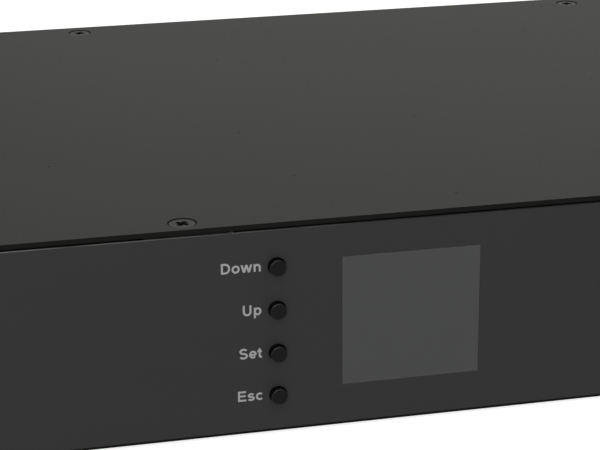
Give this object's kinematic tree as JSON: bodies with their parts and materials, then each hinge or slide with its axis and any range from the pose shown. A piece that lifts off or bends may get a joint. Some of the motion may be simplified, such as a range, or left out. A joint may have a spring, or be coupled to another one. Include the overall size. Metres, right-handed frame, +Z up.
{
  "type": "rack power distribution unit",
  "caption": "Flat black sheet-steel rack power distribution unit with a square display and push buttons on its front film, rear outlets, a mains inlet and slotted rack ears.",
  "frame": {"origin": "centre of the bounding box in plan, on the level of the case underside", "axes": "+X to the right seen from the front, -Y out of the front panel, +Z up"},
  "size_m": [0.4826, 0.1716, 0.0437],
  "materials": {
    "case_paint": "satin",
    "bracket_paint": "satin",
    "screw_black": "satin",
    "front_film": "matte",
    "window_clear": "polished",
    "screen_face": "gloss",
    "button_black": "satin",
    "black_moulding": "satin",
    "reset_white": "satin",
    "white_moulding": "satin",
    "board_green": "satin",
    "capacitor_yellow": "satin",
    "bar_brass": "brushed",
    "pin_plated": "polished",
    "wire_brown": "satin",
    "wire_blue": "satin",
    "wire_green": "satin",
    "ribbon_grey": "satin"
  },
  "bodies": {
    "unit": {"base_tray": "case_paint", "breaker_body": "black_moulding", "breaker_live_wire": "wire_brown", "control_board": "board_green", "control_board_clips": "white_moulding", "controller_board": "board_green", "controller_clips": "white_moulding", "controller_header": "black_moulding", "cover_screws": "screw_black", "current_sensor": "black_moulding", "display_header": "black_moulding", "display_holder": "white_moulding", "display_module": "screen_face", "display_ribbon": "ribbon_grey", "display_window": "window_clear", "earth_bar": "bar_brass", "earth_wire": "wire_green", "front_overlay": "front_film", "inlet_live_wire": "wire_brown", "inlet_pins": "pin_plated", "key_switch_down": "black_moulding", "key_switch_esc": "black_moulding", "key_switch_set": "black_moulding", "key_switch_up": "black_moulding", "live_bar": "bar_brass", "network_jack_1": "black_moulding", "network_jack_2": "black_moulding", "neutral_bar": "bar_brass", "neutral_wire": "wire_blue", "outlet_1": "black_moulding", "outlet_2": "black_moulding", "outlet_3": "black_moulding", "outlet_4": "black_moulding", "outlet_5": "black_moulding", "outlet_6": "black_moulding", "outlet_7": "black_moulding", "outlet_8": "black_moulding", "power_inlet": "black_moulding", "processor": "black_moulding", "rack_bracket_left": "bracket_paint", "rack_bracket_right": "bracket_paint", "supply_capacitor": "capacitor_yellow", "supply_links": "bar_brass", "supply_terminal": "board_green", "supply_transformer": "black_moulding", "top_cover": "case_paint"},
    "button_down_body": {"button_down": "button_black"},
    "button_up_body": {"button_up": "button_black"},
    "button_set_body": {"button_set": "button_black"},
    "button_esc_body": {"button_esc": "button_black"},
    "breaker_button_body": {"breaker_button": "reset_white"}
  },
  "joints": [
    {"name": "button_down_press", "type": "slide", "parent": "unit", "child": "button_down_body", "axis": [0, 1, 0], "range_m": [0, 0.00025], "stiffness_N_per_m": 6400},
    {"name": "button_up_press", "type": "slide", "parent": "unit", "child": "button_up_body", "axis": [0, 1, 0], "range_m": [0, 0.00025], "stiffness_N_per_m": 6400},
    {"name": "button_set_press", "type": "slide", "parent": "unit", "child": "button_set_body", "axis": [0, 1, 0], "range_m": [0, 0.00025], "stiffness_N_per_m": 6400},
    {"name": "button_esc_press", "type": "slide", "parent": "unit", "child": "button_esc_body", "axis": [0, 1, 0], "range_m": [0, 0.00025], "stiffness_N_per_m": 6400},
    {"name": "breaker_button_trip", "type": "slide", "parent": "unit", "child": "breaker_button_body", "axis": [0, 1, 0], "range_m": [0, 0.004]}
  ]
}
